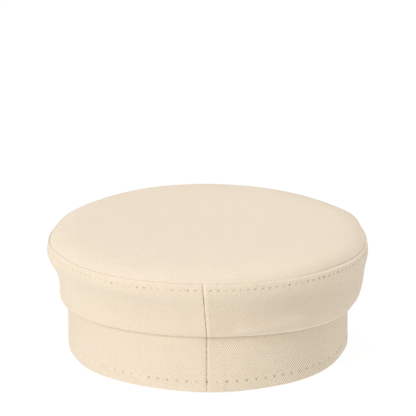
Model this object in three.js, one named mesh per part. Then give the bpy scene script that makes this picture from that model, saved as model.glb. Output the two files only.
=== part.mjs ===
// A baker boy hat in cream cotton twill: a low domed top, a flared crown wall in two halves that
// rolls over a straight head band, and a short peak at the front.
// Units are millimetres. +X is the wearer's right, +Y points forward to the peak and +Z is up.
// The hat stands on the lower edge of its band. The origin is on that surface, under the middle
// of the hat's overall length and width.
import * as THREE from "three";

// The head band follows an egg-shaped oval, wider behind than in front.
const BAND_HALF_WIDTH = 88;
const BAND_HALF_LENGTH = 98.5;
const EGG = 0.056;
const BAND_OVERLAP = 4.5;

// The cloth with its backing, and the gap that each piece keeps to the next.
const CLOTH = 1.8;
const GAP = 0.3;

// The crown: the height of its top seam, how much squarer than an oval it runs, and the slant of the
// cloth edges in it.
const SEAM_HEIGHT = 70.4;
const SEAM_SQUARE = 0.45;
const SEAM_LEAN = 1.1;

// The dome, and the part of its rise on each side that lies in the rounded shoulder along the seam.
const DOME_RISE = 7;
const DOME_POWER = 6;
const DOME_RADIUS = 104;
const SHOULDER = { right: 6, front: 0.5, left: 2.5, back: 1 };
const SHOULDER_WIDTH = 19;

// The height of the crown wall's rolled lower edge on each side of the hat.
const CROWN_EDGE = { right: 29, front: 37, left: 31.5, back: 35.2 };
const FLANGE_LIFT = 0.5;

// How far the crown wall stands out from the band on each side, from its lower edge (rise 0) up to
// the top seam (rise 1).
const CROWN_WALL = [
  { level: "fold", rise: 0, right: 2.8, front: 2.8, left: 2.8, back: 2.8 },
  { level: "roll", rise: 0.06, right: 4.3, front: 4.5, left: 5.1, back: 4.6 },
  { level: "belly", rise: 0.16, right: 6.9, front: 5.8, left: 5.0, back: 6.0 },
  { level: "waist", rise: 0.35, right: 8.9, front: 6.9, left: 5.7, back: 7.4 },
  { level: "flare", rise: 0.55, right: 10.0, front: 8.4, left: 7.5, back: 9.4 },
  { level: "shoulder", rise: 0.75, right: 11.6, front: 9.8, left: 11.3, back: 12.5 },
  { level: "stitch", rise: 0.87, right: 11.2, front: 10.4, left: 11.8, back: 13.3 },
  { level: "lip", rise: 0.94, right: 10.7, front: 10.6, left: 11.1, back: 13.4 },
  { level: "seam", rise: 1, right: 9.5, front: 9.8, left: 9.6, back: 12.1 },
];
const SEAM = CROWN_WALL[CROWN_WALL.length - 1];
const LIP = CROWN_WALL[CROWN_WALL.length - 2];

// The peak: a stiff crescent sewn to the lifted front of the band, which slopes down to the surface.
const PEAK_REACH = 48;
const PEAK_HALF_SPAN = THREE.MathUtils.degToRad(66);
const PEAK_CLOTH = 3;
const PEAK_EDGE_THINNING = 0.4;
const PEAK_CURVE = 1.7;
const PEAK_HORN = 1.5;
const FRONT_LIFT = 9;

// The back seam leans to the wearer's left: its place to the right of the middle at each end, and
// the pressed groove where it runs down the band.
const BACK_SEAM_FOOT = -0.6;
const BACK_SEAM_TOP = -3;
const BACK_GROOVE_WIDTH = 1.6;
const BACK_GROOVE_DEPTH = 0.8;

// How finely each piece is faceted.
const HALF_STEPS = 48;
const PEAK_STEPS = 40;
const PEAK_RINGS = 8;
const TOP_RINGS = [0.3, 0.55, 0.72, 0.82, 0.87, 0.92, 0.965, 1];

const BACK = -Math.PI / 2;
const FRONT = Math.PI / 2;
const TURN = 2 * Math.PI;

const { lerp, clamp } = THREE.MathUtils;

function twill(name) {
  return new THREE.MeshStandardMaterial({ name, color: 0xefe0c6, roughness: 0.92, metalness: 0 });
}

// A point that stands `out` from the band's outer face, at azimuth `a` from +X.
function ovalPoint(a, out, height) {
  const x = (BAND_HALF_WIDTH + out) * Math.cos(a) * (1 - EGG * Math.sin(a));
  const y = (BAND_HALF_LENGTH + out) * Math.sin(a);
  return new THREE.Vector3(x, y, height);
}

// A size that is given for the four sides, blended smoothly round the hat to azimuth `a`.
function around(a, size) {
  const across = Math.cos(a) > 0 ? size.right : size.left;
  const along = Math.sin(a) > 0 ? size.front : size.back;
  return across * Math.cos(a) ** 2 + along * Math.sin(a) ** 2;
}

// How far the top seam stands out from the band.
function seamOut(a) {
  return around(a, SEAM) - SEAM_SQUARE * Math.cos(4 * a);
}

// The height of the dome above the top seam, at a share of the way from the middle to the seam.
function domeRise(a, share) {
  const shoulder = around(a, SHOULDER);
  const inward = Math.min(((1 - share) * DOME_RADIUS) / SHOULDER_WIDTH, 1);
  return (DOME_RISE - shoulder) * (1 - share ** DOME_POWER) + shoulder * (1 - (1 - inward) ** 2);
}

// The share of the way from the middle of the peak (0) to its horn (1) at azimuth `a`.
function peakShare(a) {
  return Math.min(Math.abs(a - FRONT) / PEAK_HALF_SPAN, 1);
}

// The lower edge of the band: flat on the surface, and lifted in front by the peak.
function rimHeight(a) {
  return FRONT_LIFT * Math.cos((peakShare(a) * Math.PI) / 2) ** 2;
}

// How far to the wearer's right the back seam lies at a height.
function backSeamPlace(height) {
  const share = clamp((height - CROWN_EDGE.back) / (SEAM_HEIGHT - CROWN_EDGE.back), 0, 1);
  return lerp(BACK_SEAM_FOOT, BACK_SEAM_TOP, share);
}

function meshOf(name, points, index) {
  const geometry = new THREE.BufferGeometry().setFromPoints(points).setIndex(index);
  geometry.computeVertexNormals();
  const mesh = new THREE.Mesh(geometry, twill(name));
  mesh.name = name;
  return mesh;
}

// A closed wall from sections that run counterclockwise round the hat, seen from above. Each has as
// many inner as outer points, in matching order from bottom to top.
function wallSolid(name, sections, isRing) {
  const size = sections[0].outer.length;
  const points = sections.flatMap((section) => [...section.outer, ...section.inner]);
  const outer = (j, i) => (j % sections.length) * 2 * size + i;
  const inner = (j, i) => outer(j, i) + size;
  const index = [];
  const quad = (a, b, c, d) => index.push(a, b, c, a, c, d);
  const last = size - 1;
  const spans = isRing ? sections.length : sections.length - 1;
  for (let j = 0; j < spans; j++) {
    for (let i = 0; i < last; i++) {
      quad(outer(j, i), outer(j + 1, i), outer(j + 1, i + 1), outer(j, i + 1));
      quad(inner(j, i), inner(j, i + 1), inner(j + 1, i + 1), inner(j + 1, i));
    }
    quad(outer(j, 0), inner(j, 0), inner(j + 1, 0), outer(j + 1, 0));
    quad(outer(j, last), outer(j + 1, last), inner(j + 1, last), inner(j, last));
  }
  if (!isRing) {
    const end = sections.length - 1;
    for (let i = 0; i < last; i++) {
      quad(outer(0, i), outer(0, i + 1), inner(0, i + 1), inner(0, i));
      quad(outer(end, i), inner(end, i), inner(end, i + 1), outer(end, i + 1));
    }
  }
  return meshOf(name, points, index);
}

// The crown wall's outer profile at azimuth `a`, as (out, height): from the flange that meets the
// band, round the rolled lower edge and up to the top seam.
function crownOutside(a) {
  const edge = around(a, CROWN_EDGE);
  const profile = [new THREE.Vector2(GAP, edge + FLANGE_LIFT)];
  for (const row of CROWN_WALL) {
    profile.push(new THREE.Vector2(around(a, row), lerp(edge, SEAM_HEIGHT, row.rise)));
  }
  profile[profile.length - 1].x = seamOut(a) + GAP;
  return profile;
}

// The inner profile: one cloth inside the outer one and clear of the top panel, square to the band at
// the flange and along the slanted cloth edge at the top seam.
function crownInside(outside) {
  const ceiling = SEAM_HEIGHT - CLOTH - GAP;
  const inside = outside.map((p, i) => {
    const before = outside[Math.max(i - 1, 0)];
    const after = outside[Math.min(i + 1, outside.length - 1)];
    const along = after.clone().sub(before).normalize();
    return new THREE.Vector2(p.x - along.y * CLOTH, Math.min(p.y + along.x * CLOTH, ceiling));
  });
  const foot = outside[0];
  const head = outside[outside.length - 1];
  inside[0].set(foot.x, foot.y + CLOTH);
  inside[inside.length - 1].set(head.x - SEAM_LEAN, head.y - CLOTH);
  return inside;
}

// One half of the crown wall, counterclockwise from one seam to the other. `isRight` says which.
function crownHalf(name, isRight) {
  const from = isRight ? BACK : FRONT;
  const sections = [];
  for (let j = 0; j <= HALF_STEPS; j++) {
    const share = j / HALF_STEPS;
    const a = from + share * Math.PI;
    const nearBack = (isRight ? 1 - share : share) ** 4;
    const place = (p) => {
      const radius = BAND_HALF_WIDTH + p.x;
      const seamTurn = (backSeamPlace(p.y) * nearBack) / radius;
      const gapTurn = ((GAP / 2) * (1 - 2 * share)) / radius;
      return ovalPoint(a + seamTurn + gapTurn, p.x, p.y);
    };
    const outside = crownOutside(a);
    sections.push({ outer: outside.map(place), inner: crownInside(outside).map(place) });
  }
  return wallSolid(name, sections, false);
}

// The domed top panel: an oval whose slanted edge meets the crown wall in the top seam.
function crownTop() {
  const steps = 2 * HALF_STEPS;
  const panelPoint = (j, share, lean, depth) => {
    const a = (j / steps) * TURN;
    const rim = ovalPoint(a, seamOut(a) - lean, 0);
    return new THREE.Vector3(rim.x * share, rim.y * share, SEAM_HEIGHT + domeRise(a, share) - depth);
  };
  const outside = (j, share) => panelPoint(j, share, 0, 0);
  const inside = (j, share) => panelPoint(j, share, SEAM_LEAN, CLOTH);

  const points = [outside(0, 0), inside(0, 0)];
  for (let j = 0; j < steps; j++) {
    for (const share of TOP_RINGS) points.push(outside(j, share), inside(j, share));
  }
  const upper = (j, ring) => 2 + ((j % steps) * TOP_RINGS.length + ring) * 2;
  const under = (j, ring) => upper(j, ring) + 1;
  const index = [];
  const quad = (a, b, c, d) => index.push(a, b, c, a, c, d);
  const last = TOP_RINGS.length - 1;
  for (let j = 0; j < steps; j++) {
    index.push(0, upper(j, 0), upper(j + 1, 0));
    index.push(1, under(j + 1, 0), under(j, 0));
    for (let ring = 0; ring < last; ring++) {
      quad(upper(j, ring), upper(j, ring + 1), upper(j + 1, ring + 1), upper(j + 1, ring));
      quad(under(j, ring), under(j + 1, ring), under(j + 1, ring + 1), under(j, ring + 1));
    }
    quad(upper(j, last), under(j, last), under(j + 1, last), upper(j + 1, last));
  }
  return meshOf("crown_top", points, index);
}

// The head band: one strip of cloth, joined in a pressed seam at the back.
function band() {
  const seam = BACK + BACK_SEAM_FOOT / BAND_HALF_WIDTH;
  const grooveHalf = BACK_GROOVE_WIDTH / 2 / BAND_HALF_WIDTH;
  const steps = 2 * HALF_STEPS;
  const section = (a, groove) => {
    const low = rimHeight(a);
    const high = around(a, CROWN_EDGE) + BAND_OVERLAP;
    const heights = [low, (low + high) / 2, high];
    return {
      outer: heights.map((height) => ovalPoint(a, -groove, height)),
      inner: heights.map((height) => ovalPoint(a, -CLOTH, height)),
    };
  };
  const sections = [section(seam, BACK_GROOVE_DEPTH)];
  for (let j = 0; j <= steps; j++) {
    sections.push(section(lerp(seam + grooveHalf, seam + TURN - grooveHalf, j / steps), 0));
  }
  return wallSolid("band", sections, true);
}

// The peak: a crescent in plan, flush with the band's lower edge where it is sewn on, curving down
// to the surface at its outer edge.
function peak() {
  const sections = [];
  for (let j = 0; j <= PEAK_STEPS; j++) {
    const a = FRONT + lerp(-PEAK_HALF_SPAN, PEAK_HALF_SPAN, j / PEAK_STEPS);
    const reach = Math.max(PEAK_REACH * Math.cos((peakShare(a) * Math.PI) / 2), PEAK_HORN);
    const under = [];
    const upper = [];
    for (let i = 0; i <= PEAK_RINGS; i++) {
      const way = i / PEAK_RINGS;
      const height = rimHeight(a) * (1 - way ** PEAK_CURVE);
      const thick = PEAK_CLOTH * (1 - PEAK_EDGE_THINNING * way ** 4);
      under.push(ovalPoint(a, GAP + way * reach, height));
      upper.push(ovalPoint(a, GAP + way * reach, height + thick));
    }
    sections.push({ outer: under, inner: upper });
  }
  return wallSolid("peak", sections, false);
}

const backReach = BAND_HALF_LENGTH + LIP.back;
const frontReach = BAND_HALF_LENGTH + GAP + PEAK_REACH;

const hat = new THREE.Group();
hat.position.y = (backReach - frontReach) / 2;
hat.add(crownTop(), crownHalf("crown_side_right", true), crownHalf("crown_side_left", false), band(), peak());

const part = new THREE.Group();
part.add(hat);

export default part;
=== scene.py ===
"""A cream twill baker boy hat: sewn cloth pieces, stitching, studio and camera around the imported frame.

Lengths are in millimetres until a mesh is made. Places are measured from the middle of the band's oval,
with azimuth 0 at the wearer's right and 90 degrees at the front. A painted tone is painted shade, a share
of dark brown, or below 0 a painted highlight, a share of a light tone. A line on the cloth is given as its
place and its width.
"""
import math
from types import SimpleNamespace

import bpy
import numpy as np
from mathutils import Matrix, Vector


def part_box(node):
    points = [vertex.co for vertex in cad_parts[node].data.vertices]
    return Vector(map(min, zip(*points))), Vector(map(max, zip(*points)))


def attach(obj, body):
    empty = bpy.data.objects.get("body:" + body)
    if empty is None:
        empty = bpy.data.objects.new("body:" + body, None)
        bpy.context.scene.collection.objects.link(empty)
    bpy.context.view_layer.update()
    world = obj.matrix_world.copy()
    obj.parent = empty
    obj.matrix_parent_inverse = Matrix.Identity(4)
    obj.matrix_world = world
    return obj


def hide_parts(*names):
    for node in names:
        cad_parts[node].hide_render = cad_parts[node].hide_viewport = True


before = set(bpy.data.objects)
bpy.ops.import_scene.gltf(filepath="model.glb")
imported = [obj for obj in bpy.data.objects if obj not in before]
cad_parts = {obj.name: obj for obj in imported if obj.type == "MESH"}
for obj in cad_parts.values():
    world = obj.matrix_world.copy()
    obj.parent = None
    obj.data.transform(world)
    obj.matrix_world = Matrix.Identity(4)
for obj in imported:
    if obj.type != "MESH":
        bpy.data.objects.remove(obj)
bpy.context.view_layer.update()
MM = 0.001
BAND_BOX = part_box("band")
CENTRE_Y = (BAND_BOX[0][1] + BAND_BOX[1][1]) / 2 / MM
FRONT = math.pi / 2
BACK = -math.pi / 2
TURN = 2 * math.pi

# The band's egg-shaped oval and the cloth.
BAND_HALF_WIDTH = 88
BAND_HALF_LENGTH = 98.5
EGG = 0.056
BAND_OVERLAP = 4.5
CLOTH = 1.8
HEM_RADIUS = CLOTH / 2
GAP = 0.3
SEWN_GAP = 0.06

# The dome of the top panel, with a shoulder round its rim.
DOME_RISE = 7
DOME_POWER = 6
DOME_RADIUS = 104
SHOULDER = {"right": 2.0, "front": 0.5, "left": 2.5, "back": 1.0}
SHOULDER_MORE = [(-38, 26, 3.2)]
SHOULDER_WIDTH = 19
UNDERSIDE_INSET = 0.6
RIM_HELD = 2

# The crown wall: how far each level stands out from the band, and its share of the way up to the top seam.
FLANGE_LIFT = 0.5
CROWN_EDGE = {"right": 29, "front": 37, "left": 31.5, "back": 35.2}
CROWN_WALL = {
    "fold": {"rise": 0, "right": 2.8, "front": 2.8, "left": 2.8, "back": 2.8},
    "roll": {"rise": 0.06, "right": 4.6, "front": 4.5, "left": 5.1, "back": 4.6},
    "belly": {"rise": 0.16, "right": 7.4, "front": 5.8, "left": 5.0, "back": 6.0},
    "waist": {"rise": 0.35, "right": 9.2, "front": 6.9, "left": 5.7, "back": 7.4},
    "flare": {"rise": 0.55, "right": 10.0, "front": 8.4, "left": 7.5, "back": 9.4},
    "shoulder": {"rise": 0.75, "right": 11.4, "front": 9.8, "left": 11.0, "back": 12.5},
    "stitch": {"rise": 0.87, "right": 11.3, "front": 10.3, "left": 11.3, "back": 13.1},
    "lip": {"rise": 0.94, "right": 10.7, "front": 10.3, "left": 10.4, "back": 12.9},
}

# The top seam, and the lip's roll into it: shares of the way out to the lip, and drops below the seam.
SEAM_HEIGHT = 70.4
SEAM_DEPTH = 0.2
SEAM_ROLL = 0.2
SEAM_OUT = {"right": 10.0, "front": 9.8, "left": 9.9, "back": 12.1}
SEAM_CORNERS = 4
SEAM_SQUARE = 0.45
LIP_ROLL = [(0.97, 1.5), (0.82, 0.7), (0.58, 0.15), (0.3, -0.12), (0.1, 0.0), (0.03, SEAM_DEPTH)]

# Bulges and dents of the rim and of the band's lower edge: azimuth and spread in degrees, and height.
RIM_SLACK = [(-27, 12, 1.5), (4, 8, -1.1), (20, 11, 1.8), (62, 25, 0.5), (95, 20, 0.8), (110, 14, 0.9),
             (174, 9, -1.1), (196, 11, 1.4), (230, 26, 0.8)]
RIM_SLACK_POWER = 3
HEM_SLACK = [(-22, 11, -1.1), (-54, 13, 0.9), (-86, 15, 1.6), (-140, 11, 0.9)]

# Hollows of the crown wall and a wrinkle, placed by distances from the back seam and below the top seam.
HOLLOW = {
    "crown_side_right": {"depth": 1.6, "along": (60, 45), "below": (18, 9)},
    "crown_side_left": {"depth": 1.6, "along": (50, 48), "below": (19, 10)},
}
WRINKLE_HEIGHT = 1.3
WRINKLE_START = (22, 32.5)
WRINKLE_END = (66, 28)
WRINKLE_WIDTH = 3.5

# The seams hold the crown's cloth in place, and its lowest fold holds it in part.
HELD_BELOW_SEAM = 1.5
HELD_ABOVE_FOLD = (-2, 1)
HELD_AT_FOLD = 0.15

# Unevenness of the cloth: height, wavelength and seed. The puckers run along a seam.
CROWN_SAG = (0.4, 70, 1)
CROWN_WAVES = (0.15, 26, 2)
CROWN_PUCKERS = (0.16, 9, 3)
CROWN_PUCKER_LINE = (3, 5)
TOP_SAG = (0.3, 80, 5)
TOP_WAVES = (0.12, 30, 6)
TOP_PUCKERS = (0.2, 8, 7)
TOP_PUCKER_REACH = 5
BAND_SAG = (0.35, 80, 8)
BAND_WAVES = (0.12, 24, 9)
PEAK_SAG = (0.25, 60, 11)
PEAK_WAVES = (0.1, 22, 12)
RIPPLE_PARTS = 6
RIPPLE_SPREAD = (0.7, 1.3)
RIPPLE_PEAK = 3.5

# The back seam, which leans to the wearer's left from its foot to its top, and the band's seam allowance.
BACK_SEAM_FOOT = -0.6
BACK_SEAM_TOP = -3.0
BACK_SEAM_LEAN_POWER = 4
BACK_SEAM_ROLL = {"crown_side_right": 0.65, "crown_side_left": 0.35}
CROWN_RIDGE = 0.5
CROWN_RIDGE_LINE = (1.5, 1.2)
BAND_RIDGE = 0.3
BAND_RIDGE_LINE = (1.1, 0.9)
BAND_GROOVE_DEPTH = 0.7
BAND_GROOVE_HALF = 0.5
ALLOWANCE_DENT = 0.12
ALLOWANCE_LINE = (11, 1.0)

# The peak. Its covers meet in a seam round its outer edge.
PEAK_REACH = 48
PEAK_HALF_SPAN = math.radians(66)
PEAK_CLOTH = 3
PEAK_EDGE_THINNING = 0.4
PEAK_THINNING_POWER = 4
PEAK_CURVE = 1.7
PEAK_HORN = 1.5
PEAK_LEAST = 0.5
PEAK_HELD = 0.125
PEAK_SEAM_DEPTH = 0.3
PEAK_SEAM_TURN = 0.25
PEAK_SEAM_SHADE = 0.5
FRONT_LIFT = 9

# Topstitching: the rows' distance from the seam or the lower edge, hole to hole, and the cloth pulled in.
CROWN_ROW = 4.4
CROWN_PITCH = 4.38
HEM_ROW = 6.5
HEM_PITCH = 5.9
HOLE = 0.38
HOLE_DEPTH = {"crown": 0.7, "hem": 0.75}
HOLE_PULL = (0.5, 1.4)
HOLE_SEED = {"crown_side_right": 3548, "crown_side_left": 1730, "band": 3942}
ROW_GROOVE = {"crown_side_right": 0.22, "crown_side_left": 0.12, "hem_left": 0.1, "hem_right": 0.25}
ROW_GROOVE_WIDTH = 0.9
HEM_SWELL = 0.12
HEM_SWELL_LINE = (-2.6, 1.6)

# One stitch: its thread's radius, and its rise, sink and thin ends in shares of that radius.
THREAD = 0.28
STITCH_RISE = 1.5
STITCH_SINK = 0.9
STITCH_ARCH_POWER = 0.6
STITCH_END = 0.75
STITCH_INSET = 0.9 * HOLE

# How finely the pieces are meshed: numbers of points, and distances of rows and rings from an edge.
MEASURED_COLUMNS = 1200
MEASURED_TURN = 4000
PROFILE_POINTS = 320
HOLE_STEPS = [0, 0.2, 0.4, 0.75, 1.3]
SEAM_ROWS = 4
LIP_ROWS = [0, 0.2, 0.45, 0.75, 1.1, 1.5, 2, 2.5]
UNDER_STITCH_ROWS = [6, 7, 8]
WALL_ROWS = 34
WALL_CROWDING = 1.25
CROWN_INSIDE_TOP = 2.9
CROWN_INSIDE_ROWS = 16
TOP_RINGS = [0, 0.12, 0.3, 0.55, 0.85, 1.2, 1.7, 2.4, 3.2, 4.2, 5.4, 6.8, 8.4, 10.2, 12.2, 14.5, 17, 20,
             23.5, 27.5, 32, 37, 43, 50, 58, 67, 77, 88, 97]
UNDER_RINGS = [0, 1.5, 4, 9, 16, 26, 40, 60, 80, 97]
RIM_POINTS = 1024
FULL_RINGS_WITHIN = 6
RING_THINNING = 1.3
MOST_HALVINGS = 5
HEM_ROWS = [0, 1.2, 2.4, 3.5]
ABOVE_STITCH_ROWS = [7.6]
BAND_ROWS_START = 8.8
BAND_ROWS = 17
BAND_INSIDE_ROWS = 12
HEM_TURN_POINTS = 7
PEAK_COLUMNS = 361
PEAK_ROWS = 40
PEAK_CROWDING = 1.5
PEAK_EDGE_POINTS = 15
STITCH_SIDES = 8
STITCH_RINGS = 9

# Where the two sides' looks meet: as a share of the way to the front, and across the band's back seam.
FRONT_BLEND = (0.58, 0.95)
BACK_BLEND = (-12, 12)
NEAR_BACK = 60

# Painted shade in the grooves of the twill's ribs: how strongly it shows on each piece, and where more or
# less.
RIB_CONTRAST = {
    "crown_top": 0.05,
    "crown_side_right": 0.31,
    "crown_side_left": 0.085,
    "band": 0.29,
    "peak": 0.08,
}
CROWN_RIBS_AT_SIDE = 0.5
FRONT_RIB_CONTRAST = 0.13
EDGE_RIB_CONTRAST = 0.09
EDGE_RIB_REACH = 22
BAND_RIBS_MORE = 0.45
BAND_RIBS_MORE_LINE = (85, 30)
BAND_RIBS_LEFT = 0.02
BAND_RIBS_LEFT_BACK = 0.32
BAND_RIBS_LEFT_REACH = 50

# Painted shade along the seams, in dashes on the back seam, and a painted highlight on the top seam at its
# sides.
SEAM_DASH = 1.3
DASH_MEAN = 0.55
SEAM_SHADE = {"right": 0.26, "front": 0.02, "left": 0.1, "back": 0.31}
# Painted highlight on the top seam at the sides: azimuth and spread in degrees, and tone.
SEAM_LIGHT = [(10, 15, -0.7), (178, 11, -0.35)]
SEAM_HALF = 0.4
BACK_SEAM_SHADE = {"crown": 0.55, "band": 0.75}
BACK_SEAM_HALF = 0.3
BACK_SEAM_START = 9
# A painted highlight on the right panel's rolled edge beside the back seam.
BACK_SEAM_HIGHLIGHT = 0.22
BACK_SEAM_HIGHLIGHT_LINE = (1.4, 0.9)
# Painted shade along the edge of the band's seam allowance.
ALLOWANCE_SHADE = 0.08
ALLOWANCE_FADE = 0.6

# Painted shade in the stitch holes, and where along the rows it is fainter.
HOLE_PAINT = 0.5
HOLE_SHADE = {"crown_side_right": 0.72, "crown_side_left": 0.42, "hem_left": 0.5, "hem_right": 1.1}
FRONT_HOLE_SHADE = 0.3
RIGHT_HOLES_FAINT_BACK = 0.55
RIGHT_HOLES_FAINT_SIDE = 0.4
RIGHT_HOLES_SIDE = (95, 110)
LEFT_HOLES_AT_SIDE = 0.4
HEM_RIGHT_FAINT = 0.55
HEM_RIGHT_SIDE = (50, 70)
HEM_LEFT_REACH = 55

# Painted shade on the crown's panels and hollows, and painted highlights on its lip, wrinkle and lower
# fold.
PANEL_SHADE = {"crown_side_right": 0.14, "crown_side_left": 0.02}
PANEL_SHADE_REACH = 150
PANEL_SHADE_DROP = 13
PANEL_EASE = 0.3
PANEL_EASE_REACH = 22
HOLLOW_SHADE = {"crown_side_right": 0.04, "crown_side_left": 0.08}
WRINKLE_LIGHT = 0.06
LIP_LIGHT = {"crown_side_right": 1.0, "crown_side_left": 0.15}
LIP_LIGHT_RANGE = (28, 85)
LIP_LIGHT_LEAST = 0.1
LIP_LIGHT_LINE = (1.3, 0.8)
# A painted highlight along the crown's lower fold, strong on the right.
FOLD_HIGHLIGHT = {"crown_side_right": 1.0, "crown_side_left": 0.2}
FOLD_HIGHLIGHT_START = 60
FOLD_HIGHLIGHT_LINE = (0.5, 0.9)

# Painted shade round the top's rim, a highlight below 0: azimuth, spread in degrees, tone, inset from the
# rim, reach.
RIM_SHADE = [(-43, 28, 0.19, 0, 5.5), (200, 40, 0.045, 14, 13), (222, 25, -0.1, 2, 4)]

# Painted shade on the band: on its left and right parts, and painted shadow under the crown's fold and
# along the crease.
BAND_LEFT_SHADE = 0.04
BAND_SHADE = 0.1
BAND_SHADE_LINE = (75, 55)
UNDER_FOLD_SHADE = 0.13
UNDER_FOLD_REACH = 22
UNDER_FOLD_DROP = 5
CREASE_SHADE = {"left": 0.1, "right": 0.2}
CREASE_LINE = (0.8, 0.6)
CREASE_END = [(-145, 17, 0.2)]
CREASE_END_DROP = 3

# The weave: distance between ribs, their direction in degrees, the yarn floats, and how far all stand up.
RIB_PITCH = 1.1
RIB_MEAN = 2 / math.pi
RIB_ANGLE = {"crown_top": -63, "crown_side_right": 45, "crown_side_left": -45, "band": -57, "peak": -63}
RIB_WANDER = 0.6
FLOAT_LENGTH = 0.9
FLOAT_RELIEF = 0.22
FIBRE_RELIEF = 0.35
WEAVE_RELIEF = 0.2 * MM
RELIEF_FILTER = 0.2

# The twill's noises, as scale and detail, and the shares of them in its grain.
WANDER_NOISE = (0.25, 2.0)
FUZZ_NOISE = (1.0, 2.0)
FIBRE_NOISE = (2.6, 3.0)
MOTTLE_NOISE = (0.04, 3.0)
GRAIN_BASE = 0.77
GRAIN_WANDER = 0.06
GRAIN_FUZZ = 0.28
GRAIN_FIBRE = 0.12

# Colours and finish of the cloth, the thread and the floor.
CLOTH_DARK = (0.805, 0.686, 0.530, 1)
CLOTH_LIGHT = (0.835, 0.714, 0.554, 1)
# Painted highlights mix the cloth towards this light tone, and painted shade towards this dark brown.
HIGHLIGHT_TONE = (1.0, 0.865, 0.685, 1)
SHADE_TONE = (0.30, 0.215, 0.13, 1)
TWILL_FINISH = {"Roughness": 0.95, "Specular IOR Level": 0.2, "Sheen Weight": 0.15, "Sheen Roughness": 0.6}
THREAD_DARK = (0.78, 0.67, 0.51, 1)
THREAD_LIGHT = (0.88, 0.78, 0.63, 1)
THREAD_NOISE = (3000, 2.0)
THREAD_RELIEF = 0.1 * MM
THREAD_RELIEF_STRENGTH = 0.6
THREAD_FINISH = {"Roughness": 0.7}
FLOOR_FINISH = {
    "Base Color": (0.1, 0.1, 0.1, 1),
    "Emission Color": (1, 1, 1, 1),
    "Emission Strength": 0.92,
    "Roughness": 1.0,
    "Specular IOR Level": 0.0,
}
FLOOR_SIZE = 12

# The lights: the azimuth and the elevation that they come from and the angle that they fill, in degrees.
WHITE = (1, 1, 1)
COOL = (1, 1.01, 1.08)
WARM = (1.02, 0.97, 0.88)
LIGHTS = {
    "key": {"azimuth": -140, "elevation": 25, "strength": 1.73, "angle": 25, "colour": WHITE},
    "low_fill": {"azimuth": -40, "elevation": 20, "strength": 0.29, "angle": 50, "colour": WARM},
    "side_fill": {"azimuth": 0, "elevation": 45, "strength": 0.41, "angle": 50, "colour": WHITE},
    "front": {"azimuth": 95, "elevation": 50, "strength": 0.3, "angle": 90, "colour": COOL},
    "overhead": {"azimuth": 90, "elevation": 85, "strength": 1.08, "angle": 60, "colour": COOL},
}
SURROUNDING_LIGHT = 0.32

# The camera: behind the hat and a little above it, looking down by its pitch in degrees.
CAMERA_DISTANCE = 1190.3
CAMERA_HEIGHT = 421.8
CAMERA_PITCH = 15.81
CAMERA_LENS = 171.2
CAMERA_SENSOR = 36


def bump(distance, width):
    """A smooth bump of height 1 that fades over `width`."""
    return np.exp(-((distance / width) ** 2))


def line(distance, place_and_width):
    """A smooth line of height 1 along the cloth, at a distance from an edge."""
    place, width = place_and_width
    return bump(distance - place, width)


def ramp(value, start, end):
    """A share that grows evenly from 0 at `start` to 1 at `end`."""
    return np.clip((value - start) / (end - start), 0, 1)


def mix(first, second, share):
    """A value that goes from the first to the second as the share goes from 0 to 1."""
    return first * (1 - share) + second * share


def around(a, size):
    """A size that is given for the four sides, blended smoothly round the hat."""
    across = np.where(np.cos(a) > 0, size["right"], size["left"])
    along = np.where(np.sin(a) > 0, size["front"], size["back"])
    return across * np.cos(a) ** 2 + along * np.sin(a) ** 2


def at_places(a, places):
    """What a list of places round the hat adds at azimuth `a`."""
    total = 0
    for place, spread, amount in places:
        off = (a - math.radians(place) + math.pi) % TURN - math.pi
        total = total + amount * bump(off, math.radians(spread))
    return total


def oval(a, out, height):
    """Points that stand `out` from the band's outer face at azimuth `a`."""
    x = (BAND_HALF_WIDTH + out) * np.cos(a) * (1 - EGG * np.sin(a))
    y = (BAND_HALF_LENGTH + out) * np.sin(a)
    return np.stack(np.broadcast_arrays(x, y, height), axis=-1)


def peak_share(a):
    """The share of the way from the middle of the peak (0) to its horn (1)."""
    return np.minimum(np.abs(a - FRONT) / PEAK_HALF_SPAN, 1)


def rim_height(a):
    """The lower edge of the band, lifted in front by the peak."""
    return FRONT_LIFT * np.cos(peak_share(a) * math.pi / 2) ** 2


def seam_out(a):
    """How far the top seam stands out, a little squarer than an oval."""
    return around(a, SEAM_OUT) - SEAM_SQUARE * np.cos(SEAM_CORNERS * a) + at_places(a, RIM_SLACK)


def spline(knots, t):
    """A smooth curve through knots[k] at the places t, from 0 to len(knots) - 1."""
    k = np.clip(t.astype(int), 0, len(knots) - 2)
    f = (t - k).reshape(-1, *[1] * (knots.ndim - 1))
    a, b = knots[np.maximum(k - 1, 0)], knots[k]
    c, d = knots[k + 1], knots[np.minimum(k + 2, len(knots) - 1)]
    return b + f / 2 * (c - a + f * (2 * a - 5 * b + 4 * c - d + f * (3 * (b - c) + d - a)))


def normals(grid):
    """Unit normals of a grid of points whose first axis runs round the hat and second one up."""
    normal = np.cross(np.gradient(grid, axis=0), np.gradient(grid, axis=1))
    return normal / np.linalg.norm(normal, axis=-1, keepdims=True)


def lengths(points, axis):
    """Distance run along an axis of a grid of points, from its start."""
    steps = np.linalg.norm(np.diff(points, axis=axis), axis=-1)
    start = np.zeros_like(np.take(steps, [0], axis=axis))
    return np.concatenate([start, np.cumsum(steps, axis=axis)], axis=axis)


def ripple(points, height, wavelength, seed):
    """Smooth unevenness up to about `height` at places in space, the same on every run."""
    rng = np.random.default_rng(seed)
    total = np.zeros(points.shape[:-1])
    for _ in range(RIPPLE_PARTS):
        direction = rng.normal(size=points.shape[-1])
        direction *= TURN / wavelength / np.linalg.norm(direction) * rng.uniform(*RIPPLE_SPREAD)
        total += np.sin(points @ direction + rng.uniform(0, TURN))
    return height * total / RIPPLE_PEAK


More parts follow.
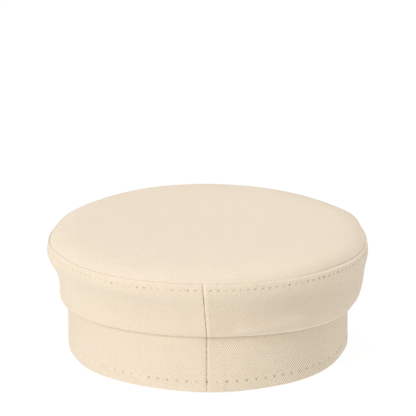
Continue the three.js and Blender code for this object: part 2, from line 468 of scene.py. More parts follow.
def from_line(along, below, start, end):
    """Distance from cloth places to the straight stretch between two places."""
    place = np.stack(np.broadcast_arrays(along, below), axis=-1) - start
    way = np.subtract(end, start)
    share = np.clip(place @ way / (way @ way), 0, 1)
    return np.linalg.norm(place - share[..., None] * way, axis=-1)


def to_front(share):
    """How far the two halves look alike, from 0 to 1, at a share of the way from the back to the front."""
    return ramp(share, *FRONT_BLEND)


def rolled(distance, radius):
    """How deep a cloth edge turns in, as a quarter round, at a distance from the seam."""
    return radius - np.sqrt(radius**2 - np.clip(radius - distance, 0, radius) ** 2)


def dashes(distance):
    """The painted strength of a seam's dashes at a distance along it."""
    return mix(np.cos(distance * TURN / SEAM_DASH), 1, DASH_MEAN)


def from_hole(along, pitch):
    """Distance along a row to its nearest stitch hole."""
    return (along + pitch / 2) % pitch - pitch / 2


def uneven_holes(along, pitch, seed):
    """How strongly each stitch hole of a row is pulled in, the same on every run."""
    number = np.round(along / pitch).astype(int)
    return np.random.default_rng(seed).uniform(*HOLE_PULL, number.max() + 1)[number]


def columns_on_holes(length, pitch):
    """Places along a row, close together at each hole, and the pitch of a whole number of stitches."""
    count = round(length / pitch)
    even = length / count
    steps = np.array(HOLE_STEPS + [even / 2] + [even - step for step in HOLE_STEPS[:0:-1]])
    return (np.arange(count)[:, None] * even + steps).ravel(), even


def rows_on_holes(row):
    """Rows close together at a line of stitch holes."""
    steps = np.array(HOLE_STEPS)
    return np.concatenate([row - steps[:0:-1], row + steps])


def weave_uv(piece, along, up):
    """Coordinates across and along the ribs, in millimetres, from cloth coordinates."""
    turn = math.radians(RIB_ANGLE[piece])
    across = up * math.cos(turn) - along * math.sin(turn)
    return np.stack([across, along * math.cos(turn) + up * math.sin(turn)], axis=-1)


def outside_only(values, steps):
    """Painted values of an outer face, with none on the rest of each section's steps."""
    return np.concatenate([values, np.zeros((len(values), steps - values.shape[1]))], axis=1)


def make_piece(name, points, faces, material, corner_uv=None, paint=None):
    """A mesh object in the frame from points in millimetres, with its weave map and painted values."""
    mesh = bpy.data.meshes.new(name)
    mesh.from_pydata(((points + [0, CENTRE_Y, 0]) * MM).tolist(), [], faces)
    if corner_uv is not None:
        mesh.uv_layers.new(name="weave").data.foreach_set("uv", corner_uv.astype(np.float32).ravel())
    for layer, values in (paint or {}).items():
        values = np.broadcast_to(np.ravel(values), len(points)).astype(np.float32)
        mesh.attributes.new(layer, "FLOAT", "POINT").data.foreach_set("value", values)
    mesh.polygons.foreach_set("use_smooth", np.ones(len(mesh.polygons), dtype=bool))
    mesh.update()
    piece = bpy.data.objects.new(name, mesh)
    bpy.context.scene.collection.objects.link(piece)
    mesh.materials.append(material)
    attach(piece, "root")
    return piece


def sweep(name, loops, uv, paint, is_ring, material, paired=0):
    """A closed piece from section loops round the hat.

    Where it isn't a ring, the first `paired` steps of an end section are closed across to its last ones,
    and one face closes the rest.
    """
    sections, steps = loops.shape[:2]
    i, j = np.meshgrid(np.arange(sections if is_ring else sections - 1), np.arange(steps), indexing="ij")
    i, j = i.ravel(), j.ravel()
    corners = [(i, j), (i + 1, j), (i + 1, j + 1), (i, j + 1)]
    quads = np.stack([(p % sections) * steps + q % steps for p, q in corners], axis=-1)
    corner_uv = np.stack([uv[p, q] for p, q in corners], axis=1).reshape(-1, 2)
    faces = quads.tolist()
    if not is_ring:
        across = [[k, k + 1, steps - 2 - k, steps - 1 - k] for k in range(paired)]
        for face in across + [list(range(paired, steps - paired))]:
            faces += [face, [(sections - 1) * steps + k for k in face[::-1]]]
            corner_uv = np.concatenate([corner_uv, uv[0, face], uv[-1, face[::-1]]])
    return make_piece(name, loops.reshape(-1, 3), faces, material, corner_uv, paint)


def stitches(name, starts, ends, up, material):
    """A row of stitches, each a thread that rises from one hole and dives into the next."""
    way = np.linspace(0, 1, STITCH_RINGS)
    arch = np.sin(way * math.pi)
    lift = THREAD * (arch**STITCH_ARCH_POWER * STITCH_RISE - STITCH_SINK)
    radius = THREAD * mix(STITCH_END, 1, arch)
    along = ends - starts
    length = np.linalg.norm(along, axis=-1, keepdims=True)
    side = np.cross(up, along / length)
    turn = np.arange(STITCH_SIDES) * TURN / STITCH_SIDES
    middle = starts[:, None] + along[:, None] * way[:, None] + up[:, None] * lift[:, None]
    ring = side[:, None, None] * np.cos(turn)[:, None] + up[:, None, None] * np.sin(turn)[:, None]
    points = middle[:, :, None] + ring * radius[:, None, None]
    return make_piece(name, points.reshape(-1, 3), stitch_faces(len(starts)), material)


def stitch_faces(count):
    """Faces of a row of stitches: the sides of each thread and its two ends."""
    first = np.arange(count)[:, None, None] * STITCH_RINGS * STITCH_SIDES
    r, s = np.meshgrid(np.arange(STITCH_RINGS - 1), np.arange(STITCH_SIDES), indexing="ij")
    corners = [(r, s), (r, s + 1), (r + 1, s + 1), (r + 1, s)]
    quads = np.stack([first + p * STITCH_SIDES + q % STITCH_SIDES for p, q in corners], axis=-1)
    faces = quads.reshape(-1, 4).tolist()
    for base in first.ravel().tolist():
        last = base + (STITCH_RINGS - 1) * STITCH_SIDES
        faces.append(list(range(base, base + STITCH_SIDES))[::-1])
        faces.append(list(range(last, last + STITCH_SIDES)))
    return faces


def sewn_row(points, up, run, pitch):
    """Starts, ends and normals of the stitches along surface points at the distances `run`."""

    def place(at, values):
        return np.stack([np.interp(at, run, values[:, k]) for k in range(3)], axis=-1)

    holes = np.arange(round(run[-1] / pitch) + 1) * pitch
    starts = place(holes[:-1] + STITCH_INSET, points)
    ends = place(holes[1:] - STITCH_INSET, points)
    normal = place((holes[:-1] + holes[1:]) / 2, up)
    return starts, ends, normal / np.linalg.norm(normal, axis=-1, keepdims=True)


def back_seam_place(height):
    """How far to the wearer's right the back seam lies at a height."""
    return mix(BACK_SEAM_FOOT, BACK_SEAM_TOP, ramp(height, CROWN_EDGE["back"], SEAM_HEIGHT))


def crown_azimuth(share, is_right):
    """Azimuth at a share of the way along a crown half, from back to front on the right."""
    return (BACK if is_right else FRONT) + share * math.pi


def crown_profile(a):
    """Knots of the crown wall's outer face as (out, height): flange, roll, wall, lip and seam."""
    edge = around(a, CROWN_EDGE)
    seam = seam_out(a)
    knots = [(np.full_like(a, GAP), edge + FLANGE_LIFT)]
    for level in CROWN_WALL.values():
        out = around(a, level) + at_places(a, RIM_SLACK) * level["rise"] ** RIM_SLACK_POWER
        knots.append((out, edge + (SEAM_HEIGHT - edge) * level["rise"]))
    lip = knots[-1][0]
    for share, drop in LIP_ROLL:
        knots.append((seam + share * (lip - seam), np.full_like(a, SEAM_HEIGHT - drop)))
    return np.stack([np.stack(k, axis=-1) for k in knots])


def crown_face(share, is_right):
    """Dense points of half a crown wall's outer face, with each one's distance below the seam."""
    a = crown_azimuth(share, is_right)
    knots = crown_profile(a)
    profile = spline(knots, np.linspace(0, len(knots) - 1, PROFILE_POINTS)).transpose(1, 0, 2)
    out, height = profile[..., 0], profile[..., 1]
    lean = (1 - share if is_right else share) ** BACK_SEAM_LEAN_POWER
    shift = back_seam_place(height) * lean[:, None] + SEWN_GAP / 2 * (1 - 2 * share)[:, None]
    face = oval(a[:, None] + shift / (BAND_HALF_WIDTH + out), out, height)
    return face, lengths(face[:, ::-1], 1)[:, ::-1] - SEAM_DEPTH


def at_distance(face, below, rows):
    """Points of each column of a face at distances below the seam; rows has a line for each column."""

    def pick(column, k):
        return np.interp(rows[column], below[column, ::-1], face[column, ::-1, k])

    return np.stack([[pick(c, k) for k in range(3)] for c in range(len(face))]).transpose(0, 2, 1)


def crown_rows(whole):
    """Distances of a crown half's rows below the seam, from the lowest up, in columns `whole` long."""
    into_seam = np.linspace(-SEAM_DEPTH, 0, SEAM_ROWS, endpoint=False)
    fixed = np.concatenate([into_seam, LIP_ROWS, rows_on_holes(CROWN_ROW), UNDER_STITCH_ROWS])
    share = 1 - (1 - np.linspace(0, 1, WALL_ROWS)[1:]) ** WALL_CROWDING
    wall = fixed[-1] + (whole - fixed[-1]) * share
    return np.concatenate([np.broadcast_to(fixed, (len(whole), len(fixed))), wall], axis=1)[:, ::-1]


def crown_wall(name, is_right):
    """The outer face of a crown half, with columns on its stitch holes, and what lies near each point."""
    dense = np.linspace(0, 1, MEASURED_COLUMNS)
    stitch_line = at_distance(*crown_face(dense, is_right), np.full((len(dense), 1), CROWN_ROW))[:, 0]
    run = lengths(stitch_line, 0)
    along, pitch = columns_on_holes(run[-1], CROWN_PITCH)
    along = np.append(along, run[-1])
    share = np.interp(along, run, dense)
    plain, depth = crown_face(share, is_right)

    wall = SimpleNamespace(along=along[:, None], pitch=pitch, below=crown_rows(depth[:, :1]))
    wall.face = at_distance(plain, depth, wall.below)
    wall.outward = normals(wall.face)
    wall.a = crown_azimuth(share, is_right)[:, None]
    wall.from_seam = np.minimum(wall.along, run[-1] - wall.along)
    wall.from_back = wall.along if is_right else run[-1] - wall.along
    wall.near_back = bump(wall.from_back, NEAR_BACK)
    wall.alike = to_front(wall.from_back / run[-1])
    wall.pull = uneven_holes(wall.along, pitch, HOLE_SEED[name])
    wall.to_hole = np.hypot(from_hole(wall.along, pitch), wall.below - CROWN_ROW)
    hollow = HOLLOW[name]
    wall.hollow = line(wall.from_back, hollow["along"]) * line(wall.below, hollow["below"])
    to_wrinkle = from_line(wall.from_back, wall.below, WRINKLE_START, WRINKLE_END)
    wall.wrinkle = is_right * bump(to_wrinkle, WRINKLE_WIDTH)
    fold = oval(wall.a, around(wall.a, CROWN_WALL["fold"]), around(wall.a, CROWN_EDGE))
    wall.from_fold = lengths(wall.face, 1) - np.linalg.norm(wall.face[:, :1] - fold, axis=-1)
    return wall


def crown_free(wall):
    """How freely the crown's cloth can stray: not at its seam, and little at its lowest fold."""
    above_fold = wall.face[..., 2] - wall.face[:, :1, 2]
    at_fold = np.maximum(ramp(above_fold, *HELD_ABOVE_FOLD), HELD_AT_FOLD)
    return ramp(wall.below, 0, HELD_BELOW_SEAM) * at_fold


def crown_relief(name, is_right, wall):
    """Fine forms of a crown half's outer face: puckers, its stitched row, its holes and its back seam."""
    relief = ripple(wall.face, *CROWN_WAVES)
    relief += ripple(wall.along[..., None], *CROWN_PUCKERS) * line(wall.below, CROWN_PUCKER_LINE)
    relief -= ROW_GROOVE[name] * bump(wall.below - CROWN_ROW, ROW_GROOVE_WIDTH)
    relief -= HOLE_DEPTH["crown"] * wall.pull * bump(wall.to_hole, HOLE)
    relief -= rolled(wall.from_seam, BACK_SEAM_ROLL[name])
    relief += is_right * CROWN_RIDGE * line(wall.from_seam, CROWN_RIDGE_LINE)
    return relief


def crown_hole_shade(name, is_right, wall):
    """How strong the painted shade in the stitch holes of a crown half is along its row."""
    if is_right:
        at_back = 1 - RIGHT_HOLES_FAINT_BACK * wall.near_back
        strength = at_back * (1 - RIGHT_HOLES_FAINT_SIDE * ramp(wall.from_back, *RIGHT_HOLES_SIDE))
    else:
        strength = mix(LEFT_HOLES_AT_SIDE, 1, wall.near_back)
    return mix(HOLE_SHADE[name] * strength, FRONT_HOLE_SHADE, wall.alike)


def crown_shade(name, is_right, wall):
    """Painted shade in a crown half's holes, seams and panels, and painted highlights on its lip and
    folds.
    """
    # Painted shade in the stitch holes.
    shade = crown_hole_shade(name, is_right, wall) * wall.pull * bump(wall.to_hole, HOLE_PAINT)
    # Painted shade along the back seam and the top seam, and a painted highlight on the top seam at the
    # sides.
    back_seam = dashes(wall.below) * bump(wall.from_seam, BACK_SEAM_HALF)
    shade += BACK_SEAM_SHADE["crown"] * back_seam * ramp(wall.below, 0, BACK_SEAM_START)
    top_seam = bump(wall.below, SEAM_HALF)
    shade += around(wall.a, SEAM_SHADE) * top_seam
    shade = np.clip(shade, 0, 1) + at_places(wall.a, SEAM_LIGHT) * top_seam

    # Painted shade on the panels, most on the right, and in the hollow, and a painted highlight on the
    # wrinkle.
    panel = bump(wall.from_back, PANEL_SHADE_REACH) * ramp(wall.below, 0, PANEL_SHADE_DROP)
    shade += PANEL_SHADE[name] * (panel - PANEL_EASE * bump(wall.from_back, PANEL_EASE_REACH))
    shade += HOLLOW_SHADE[name] * wall.hollow - WRINKLE_LIGHT * wall.wrinkle
    # A painted highlight along the lip below the top seam.
    lit = np.maximum(ramp(wall.from_seam, *LIP_LIGHT_RANGE), LIP_LIGHT_LEAST) * (1 - wall.alike)
    shade -= LIP_LIGHT[name] * lit * line(wall.below, LIP_LIGHT_LINE)
    # A painted highlight along the lower fold, growing away from the back seam.
    highlight = ramp(wall.from_seam, 0, FOLD_HIGHLIGHT_START) * line(wall.from_fold, FOLD_HIGHLIGHT_LINE)
    shade -= FOLD_HIGHLIGHT[name] * highlight
    # A painted highlight on the right panel's rolled edge beside the back seam.
    shade -= is_right * BACK_SEAM_HIGHLIGHT * line(wall.from_seam, BACK_SEAM_HIGHLIGHT_LINE)
    return shade


def crown_half(name, is_right, material, thread):
    """One half of the crown wall and its row of topstitching."""
    wall = crown_wall(name, is_right)
    free = crown_free(wall)
    drape = ripple(wall.face, *CROWN_SAG) - HOLLOW[name]["depth"] * wall.hollow
    drape = (drape + WRINKLE_HEIGHT * wall.wrinkle) * free
    outer = wall.face + wall.outward * (drape + crown_relief(name, is_right, wall) * free)[..., None]
    first_inside = np.argmin(np.abs(wall.below[0] - CROWN_INSIDE_TOP))
    inside = np.linspace(first_inside, 0, CROWN_INSIDE_ROWS).astype(int)
    inner = (wall.face + wall.outward * (drape - CLOTH)[..., None])[:, inside]
    loops = np.concatenate([outer, inner], axis=1)

    up = np.concatenate([-wall.below, 2 * CLOTH - wall.below[:, inside], -wall.below[:, :1]], axis=1)
    uv = weave_uv(name, wall.along, up)
    # Painted shade in the ribs' grooves, stronger near the back.
    ribs = RIB_CONTRAST[name] * mix(CROWN_RIBS_AT_SIDE, 1, wall.near_back)
    ribs = mix(ribs, FRONT_RIB_CONTRAST, wall.alike)
    dark = outside_only(crown_shade(name, is_right, wall), loops.shape[1])
    paint = {"shade": dark, "ribs": np.broadcast_to(ribs, dark.shape)}
    piece = sweep(name + "_cloth", loops, uv, paint, False, material)
    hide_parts(name)

    on_row = np.argmin(np.abs(wall.below[0] - CROWN_ROW))
    sewn = sewn_row(outer[:, on_row], wall.outward[:, on_row], wall.along[:, 0], wall.pitch)
    row = stitches(name + "_stitches", *sewn, thread)


def dome_ring(gap, is_upper):
    """A ring of the top panel's points, `gap` in from its rim, with fewer points towards the middle."""
    halvings = int(RING_THINNING * math.log2(max(gap, FULL_RINGS_WITHIN) / FULL_RINGS_WITHIN))
    count = RIM_POINTS >> min(halvings, MOST_HALVINGS)
    a = np.arange(count) * TURN / count
    rim = oval(a, seam_out(a) - SEWN_GAP / 2 - (0 if is_upper else UNDERSIDE_INSET), 0)
    share = 1 - gap / DOME_RADIUS
    points = rim * share
    shoulder = around(a, SHOULDER) + at_places(a, SHOULDER_MORE)
    points[:, 2] = SEAM_HEIGHT + (DOME_RISE - shoulder) * (1 - share**DOME_POWER)
    points[:, 2] += shoulder * (1 - (1 - min(gap / SHOULDER_WIDTH, 1)) ** 2)
    if is_upper:
        points[:, 2] += dome_relief(points, lengths(rim, 0), gap)
    else:
        points[:, 2] -= CLOTH
    return points


def dome_relief(points, along_rim, gap):
    """Unevenness of the top panel's upper face, and its edge rolled into the seam."""
    relief = ripple(points, *TOP_SAG) + ripple(points, *TOP_WAVES)
    relief += ripple(along_rim[:, None], *TOP_PUCKERS) * bump(gap, TOP_PUCKER_REACH)
    return relief * ramp(gap, 0, RIM_HELD) - rolled(gap, SEAM_ROLL) * SEAM_DEPTH / SEAM_ROLL


def ring_faces(outer, inner):
    """Faces between two rings of point numbers, where the inner one has as many points or half as many."""
    inner_next = np.roll(inner, -1)
    if len(outer) == len(inner):
        return np.stack([outer, np.roll(outer, -1), inner_next, inner], axis=-1).tolist()
    even, odd = outer[::2], outer[1::2]
    made = [(even, odd, inner), (odd, inner_next, inner), (odd, np.roll(even, -1), inner_next)]
    return np.stack([np.stack(corners, axis=-1) for corners in made], axis=1).reshape(-1, 3).tolist()


def panel_faces(rings, middle):
    """Faces of a panel from its outermost ring of point numbers to its middle point."""
    faces = []
    for outer, inner in zip(rings, rings[1:]):
        faces += ring_faces(outer, inner)
    last = rings[-1].tolist()
    return faces + [[this, after, middle] for this, after in zip(last, last[1:] + last[:1])]


def dome_shade(points, gaps):
    """Painted shade and highlights of the top panel: along the line of its seam, and round its rim."""
    a = np.arctan2(points[:, 1], points[:, 0])
    shade = (around(a, SEAM_SHADE) + at_places(a, SEAM_LIGHT)) * bump(gaps, SEAM_HALF)
    for place, spread, tone, inset, reach in RIM_SHADE:
        shade += at_places(a, [(place, spread, tone)]) * bump(gaps - inset, reach)
    return shade


def crown_top(material):
    """The domed top panel: its upper face, its underside and the rim between them."""
    name = "crown_top"
    rings = [dome_ring(gap, True) for gap in TOP_RINGS] + [dome_ring(gap, False) for gap in UNDER_RINGS]
    sizes = [len(ring) for ring in rings]
    numbers = np.split(np.arange(sum(sizes)), np.cumsum(sizes)[:-1])
    upper, under = numbers[:len(TOP_RINGS)], numbers[len(TOP_RINGS):]
    summit = SEAM_HEIGHT + DOME_RISE
    middles = np.array([[0, 0, summit], [0, 0, summit - CLOTH]])
    points = np.concatenate(rings + [middles])
    faces = panel_faces(upper, len(points) - 2)
    faces += [face[::-1] for face in panel_faces(under, len(points) - 1)]
    faces += ring_faces(under[0], upper[0])

    corners = np.concatenate(faces)
    uv = weave_uv(name, points[:, 0], points[:, 1])[corners]
    gaps = np.append(np.repeat(TOP_RINGS + UNDER_RINGS, sizes), [DOME_RADIUS, DOME_RADIUS])
    # Painted shade in the ribs' grooves, stronger near the rim.
    ribs = RIB_CONTRAST[name] + EDGE_RIB_CONTRAST * bump(gaps, EDGE_RIB_REACH)
    paint = {"shade": dome_shade(points, gaps), "ribs": ribs}
    piece = make_piece(name + "_cloth", points, faces, material, uv, paint)
    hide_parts(name)


def band_out(a, height):
    """How far the band's outer face strays from its oval, most at its lower edge."""
    return at_places(a, HEM_SLACK) * (1 - ramp(height, 0, CROWN_EDGE["right"]))


def band_strip():
    """The band's outer face, with columns on its stitch holes, and what lies near each point."""
    seam = BACK + BACK_SEAM_FOOT / BAND_HALF_WIDTH
    dense = seam + np.linspace(0, TURN, MEASURED_TURN)
    run = lengths(oval(dense, 0, 0), 0)
    whole = run[-1]
    along, pitch = columns_on_holes(whole, HEM_PITCH)

    strip = SimpleNamespace(along=along[:, None], whole=whole, pitch=pitch)
    strip.a = np.interp(along, run, dense)[:, None]
    strip.low = rim_height(strip.a)
    strip.high = around(strip.a, CROWN_EDGE) + BAND_OVERLAP
    climb = np.concatenate([HEM_ROWS, rows_on_holes(HEM_ROW - HEM_RADIUS), ABOVE_STITCH_ROWS])
    start = strip.low + HEM_RADIUS
    upper = mix(start + BAND_ROWS_START, strip.high, np.linspace(0, 1, BAND_ROWS))
    strip.height = np.concatenate([start + climb, upper], axis=1)
    strip.face = oval(strip.a, band_out(strip.a, strip.height), strip.height)
    strip.outward = normals(strip.face)
    strip.from_seam = np.minimum(strip.along, whole - strip.along)
    strip.from_row = strip.height - strip.low - HEM_ROW
    strip.to_hole = np.hypot(from_hole(strip.along, pitch), strip.from_row)
    strip.pull = uneven_holes(strip.along, pitch, HOLE_SEED["band"])
    to_right = ramp(np.where(strip.along < whole / 2, strip.along, strip.along - whole), *BACK_BLEND)
    strip.to_right = mix(to_right, 0.5, to_front(strip.from_seam / (whole / 2)))
    return strip


def band_relief(strip):
    """Fine forms of the band's outer face: unevenness, its stitched row, its holes and its back seam."""
    relief = ripple(strip.face, *BAND_SAG) + ripple(strip.face, *BAND_WAVES)
    groove = mix(ROW_GROOVE["hem_left"], ROW_GROOVE["hem_right"], strip.to_right)
    relief -= groove * bump(strip.from_row, ROW_GROOVE_WIDTH)
    relief += HEM_SWELL * line(strip.from_row, HEM_SWELL_LINE)
    relief -= HOLE_DEPTH["hem"] * strip.pull * bump(strip.to_hole, HOLE)
    relief -= BAND_GROOVE_DEPTH * bump(strip.from_seam, BAND_GROOVE_HALF)
    relief += BAND_RIDGE * line(strip.along, BAND_RIDGE_LINE)
    relief -= ALLOWANCE_DENT * line(strip.along, ALLOWANCE_LINE)
    return relief


def band_shade(strip):
    """Painted shade on the band: in its holes and seam, shadow under the crown's fold, and on its two
    sides.
    """
    # Painted shade in the hem's stitch holes, stronger on the right.
    right_holes = HOLE_SHADE["hem_right"] * (1 - HEM_RIGHT_FAINT * ramp(strip.from_seam, *HEM_RIGHT_SIDE))
    left_holes = HOLE_SHADE["hem_left"] * bump(strip.from_seam, HEM_LEFT_REACH)
    shade = mix(left_holes, right_holes, strip.to_right) * strip.pull * bump(strip.to_hole, HOLE_PAINT)
    # Painted shade in dashes along the band's back seam.
    shade += BACK_SEAM_SHADE["band"] * dashes(strip.height) * bump(strip.from_seam, BACK_SEAM_HALF)
    shade = np.clip(shade, 0, 1)

    # Painted shadow under the crown's fold and along the crease, and painted shade on the band's right and
    # left.
    under_fold = around(strip.a, CROWN_EDGE) - strip.height
    drop = np.maximum(under_fold, 0)
    near_seam = bump(strip.from_seam, UNDER_FOLD_REACH)
    shade += UNDER_FOLD_SHADE * strip.to_right * near_seam * bump(drop, UNDER_FOLD_DROP)
    crease = mix(CREASE_SHADE["left"], CREASE_SHADE["right"], strip.to_right)
    shade += crease * line(under_fold, CREASE_LINE)
    shade += at_places(strip.a, CREASE_END) * bump(drop, CREASE_END_DROP)
    shade += BAND_SHADE * line(strip.along, BAND_SHADE_LINE)
    shade += BAND_LEFT_SHADE * (1 - strip.to_right)
    # Painted shade along the edge of the seam allowance, low on the band.
    low_part = bump(strip.height / CROWN_EDGE["back"], ALLOWANCE_FADE)
    shade += ALLOWANCE_SHADE * line(strip.along, ALLOWANCE_LINE) * low_part
    return shade


def band_ribs(strip):
    """How strongly the painted shade in the ribs' grooves shows along the band."""
    on_right = 1 + BAND_RIBS_MORE * line(strip.along, BAND_RIBS_MORE_LINE)
    on_left = BAND_RIBS_LEFT + BAND_RIBS_LEFT_BACK * bump(strip.from_seam, BAND_RIBS_LEFT_REACH)
    return RIB_CONTRAST["band"] * mix(on_left, on_right, strip.to_right)


def band(material, thread):
    """The head band with its pressed back seam, its turned hem and the hem's stitching."""
    name = "band"
    strip = band_strip()
    outer = strip.face + strip.outward * band_relief(strip)[..., None]
    inner_height = mix(strip.low + HEM_RADIUS, strip.high, np.linspace(1, 0, BAND_INSIDE_ROWS))
    inner = oval(strip.a, band_out(strip.a, inner_height) - CLOTH, inner_height)
    turn = np.linspace(math.pi, 0, HEM_TURN_POINTS)[1:-1]
    hem_out = at_places(strip.a, HEM_SLACK) - HEM_RADIUS * (1 - np.cos(turn))
    hem = oval(strip.a, hem_out, strip.low + HEM_RADIUS * (1 - np.sin(turn)))
    loops = np.concatenate([outer, inner, hem], axis=1)

    hem_up = np.repeat(2 * strip.high, len(turn) + 1, axis=1)
    up = np.concatenate([strip.height, 2 * strip.high - inner_height, hem_up], axis=1)
    run = np.append(strip.along, strip.whole)
    uv = weave_uv(name, run[:, None], np.concatenate([up, up[:1]]))
    dark = outside_only(band_shade(strip), loops.shape[1])
    paint = {"shade": dark, "ribs": np.broadcast_to(band_ribs(strip), dark.shape)}
    piece = sweep(name + "_cloth", loops, uv, paint, True, material)
    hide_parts(name)

    on_row = np.argmin(np.abs(strip.from_row[0]))
    normal = strip.outward[:, on_row]
    inside = oval(strip.a, band_out(strip.a, strip.low + HEM_ROW) - CLOTH, strip.low + HEM_ROW)[:, 0]
    rows = {"outside": (outer[:, on_row], normal), "inside": (inside, -normal)}
    for side, surface in rows.items():
        closed = [np.concatenate([values, values[:1]]) for values in surface]
        stitches(f"hem_stitches_{side}", *sewn_row(*closed, run, strip.pitch), thread)


def peak(material):
    """The peak: upper and under covers that meet in a seam round the outer edge."""
    name = "peak"
    a = (FRONT + np.linspace(-1, 1, PEAK_COLUMNS) * PEAK_HALF_SPAN)[:, None]
    reach = np.maximum(PEAK_REACH * np.cos(peak_share(a) * math.pi / 2), PEAK_HORN)
    way = 1 - (1 - np.linspace(0, 1, PEAK_ROWS)) ** PEAK_CROWDING
    lower = rim_height(a) * (1 - way**PEAK_CURVE)
    thick = PEAK_CLOTH * (1 - PEAK_EDGE_THINNING * way**PEAK_THINNING_POWER)
    nose = thick[-1] / 2
    inward = np.maximum(reach - nose, PEAK_LEAST)
    under = oval(a, GAP + way * inward, lower)
    upper = oval(a, GAP + way * inward, lower + thick)
    turn = np.linspace(-math.pi / 2, math.pi / 2, PEAK_EDGE_POINTS)[1:-1]
    seam = bump(turn, PEAK_SEAM_TURN)
    edge_out = GAP + inward + nose * np.cos(turn) * (1 - PEAK_SEAM_DEPTH * seam)
    edge = oval(a, edge_out, lower[:, -1:] + nose + nose * np.sin(turn))
    relief = ripple(upper, *PEAK_SAG) + ripple(upper, *PEAK_WAVES)
    upper[..., 2] += relief * ramp(np.minimum(way, 1 - way), 0, PEAK_HELD)
    loops = np.concatenate([under, edge, upper[:, ::-1]], axis=1)

    flat = np.concatenate([loops, loops[:, :1]], axis=1)
    uv = weave_uv(name, flat[..., 0], flat[..., 1])
    shade = np.zeros(loops.shape[:2])
    shade[:, len(way):len(way) + len(turn)] = PEAK_SEAM_SHADE * seam
    paint = {"shade": shade, "ribs": RIB_CONTRAST[name]}
    piece = sweep(name + "_cloth", loops, uv, paint, False, material, len(way) - 1)
    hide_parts(name)


class Nodes:
    """Short helpers to build a material's node tree."""

    def __init__(self, name):
        self.material = bpy.data.materials.new(name)
        self.material.use_nodes = True
        self.tree = self.material.node_tree
        self.shader = self.tree.nodes["Principled BSDF"]

    def add(self, kind, inputs=(), **settings):
        node = self.tree.nodes.new(kind)
        for key, value in settings.items():
            setattr(node, key, value)
        for socket, value in dict(inputs).items():
            self.put(node.inputs[socket], value)
        return node

    def put(self, socket, value):
        if isinstance(value, bpy.types.NodeSocket):
            self.tree.links.new(value, socket)
        else:
            socket.default_value = value

    def finish(self, inputs):
        for socket, value in inputs.items():
            self.put(self.shader.inputs[socket], value)
        return self.material

    def math(self, operation, *values):
        return self.add("ShaderNodeMath", enumerate(values), operation=operation).outputs[0]

    def mix(self, share, first, second, blend="MIX"):
        inputs = {0: share, 6: first, 7: second}
        return self.add("ShaderNodeMix", inputs, data_type="RGBA", blend_type=blend).outputs[2]

    def noise(self, vector, scale, detail):
        inputs = {"Vector": vector, "Scale": scale, "Detail": detail}
        return self.add("ShaderNodeTexNoise", inputs, noise_dimensions="3D").outputs[0]

    def attribute(self, name):
        return self.add("ShaderNodeAttribute", attribute_name=name).outputs["Fac"]


def twill_material():
    """Cotton twill: diagonal ribs of slanted yarn floats, faint mottling, and painted shade and
    highlights.
    """
    nodes = Nodes("twill")
    place = nodes.add("ShaderNodeUVMap", uv_map="weave").outputs[0]
    across, along, _ = nodes.add("ShaderNodeSeparateXYZ", {0: place}).outputs
    wander = nodes.noise(place, *WANDER_NOISE)
    phase = nodes.math("MULTIPLY_ADD", across, 1 / RIB_PITCH, nodes.math("MULTIPLY", wander, RIB_WANDER))
    half_turns = nodes.math("MULTIPLY", phase, math.pi)
    rib = nodes.math("ABSOLUTE", nodes.math("COSINE", half_turns))
    float_phase = nodes.math("MULTIPLY_ADD", along, TURN / FLOAT_LENGTH, half_turns)
    floats = nodes.math("MULTIPLY_ADD", nodes.math("COSINE", float_phase), 0.5, 0.5)
    fibre = nodes.noise(place, *FIBRE_NOISE)
    height = nodes.math("MULTIPLY_ADD", floats, FLOAT_RELIEF, rib)
    height = nodes.math("MULTIPLY_ADD", fibre, FIBRE_RELIEF, height)
    relief = {"Strength": 1.0, "Distance": WEAVE_RELIEF, "Height": height, "Filter Width": RELIEF_FILTER}
    normal = nodes.add("ShaderNodeBump", relief).outputs[0]

    cloth = nodes.mix(nodes.noise(place, *MOTTLE_NOISE), CLOTH_DARK, CLOTH_LIGHT)
    grain = nodes.math("MULTIPLY_ADD", wander, GRAIN_WANDER, GRAIN_BASE)
    grain = nodes.math("MULTIPLY_ADD", nodes.noise(place, *FUZZ_NOISE), GRAIN_FUZZ, grain)
    grain = nodes.math("MULTIPLY_ADD", fibre, GRAIN_FIBRE, grain)
    # Painted shade in the grooves between the ribs, as strong as the 'ribs' value.
    wave = nodes.math("MULTIPLY_ADD", rib, 2.0, -2 * RIB_MEAN)
    tone = nodes.math("MULTIPLY_ADD", wave, nodes.attribute("ribs"), grain)
    grey = nodes.add("ShaderNodeCombineColor", {0: tone, 1: tone, 2: tone}).outputs[0]
    cloth = nodes.mix(1.0, cloth, grey, "MULTIPLY")
    # The shade value paints shade towards the dark brown, and below 0 a painted highlight towards the
    # light tone.
    shade = nodes.attribute("shade")
    light = nodes.math("MAXIMUM", nodes.math("MULTIPLY", shade, -1.0), 0.0)
    highlight = nodes.mix(light, cloth, HIGHLIGHT_TONE)
    colour = nodes.mix(nodes.math("MAXIMUM", shade, 0.0), highlight, SHADE_TONE)
    nodes.material.cycles.use_bump_map_correction = False
    return nodes.finish({"Base Color": colour, "Normal": normal, **TWILL_FINISH})


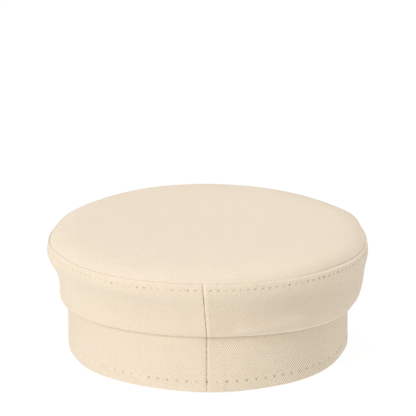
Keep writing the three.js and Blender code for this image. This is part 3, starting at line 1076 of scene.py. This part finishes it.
def thread_material():
    """Sewing thread in the colour of the cloth, with its twist."""
    nodes = Nodes("thread")
    place = nodes.add("ShaderNodeTexCoord").outputs["Object"]
    twist = nodes.noise(place, *THREAD_NOISE)
    relief = {"Strength": THREAD_RELIEF_STRENGTH, "Distance": THREAD_RELIEF, "Height": twist}
    normal = nodes.add("ShaderNodeBump", relief).outputs[0]
    colour = nodes.mix(twist, THREAD_DARK, THREAD_LIGHT)
    return nodes.finish({"Base Color": colour, "Normal": normal, **THREAD_FINISH})


def studio_floor():
    """A white floor."""
    bpy.ops.mesh.primitive_plane_add(size=FLOOR_SIZE, location=(0, 0, 0))
    floor = bpy.context.object
    floor.name = "floor"
    floor.data.materials.append(Nodes("floor").finish(FLOOR_FINISH))


def studio_lights():
    """Soft light from all round, and the lights of the studio."""
    world = bpy.data.worlds.new("studio")
    bpy.context.scene.world = world
    world.use_nodes = True
    background = world.node_tree.nodes["Background"]
    background.inputs["Color"].default_value = (*WHITE, 1)
    background.inputs["Strength"].default_value = SURROUNDING_LIGHT
    for name, row in LIGHTS.items():
        lamp = bpy.data.lights.new(name, "SUN")
        lamp.energy = row["strength"]
        lamp.angle = math.radians(row["angle"])
        lamp.color = row["colour"]
        light = bpy.data.objects.new(name, lamp)
        tilt = math.radians(90 - row["elevation"])
        light.rotation_euler = (tilt, 0, math.radians(row["azimuth"] + 90))
        bpy.context.scene.collection.objects.link(light)


def camera():
    """The photograph's view."""
    lens = bpy.data.cameras.new("camera")
    lens.sensor_width = CAMERA_SENSOR
    lens.lens = CAMERA_LENS
    eye = bpy.data.objects.new("camera", lens)
    eye.location = (0, (CENTRE_Y - CAMERA_DISTANCE) * MM, CAMERA_HEIGHT * MM)
    eye.rotation_euler = (math.pi / 2 - math.radians(CAMERA_PITCH), 0, 0)
    bpy.context.scene.collection.objects.link(eye)
    bpy.context.scene.camera = eye
    bpy.context.scene.view_settings.view_transform = "Standard"


camera()
studio_floor()
studio_lights()
twill = twill_material()
thread = thread_material()
crown_top(twill)
crown_half("crown_side_right", True, twill, thread)
crown_half("crown_side_left", False, twill, thread)
band(twill, thread)
peak(twill)
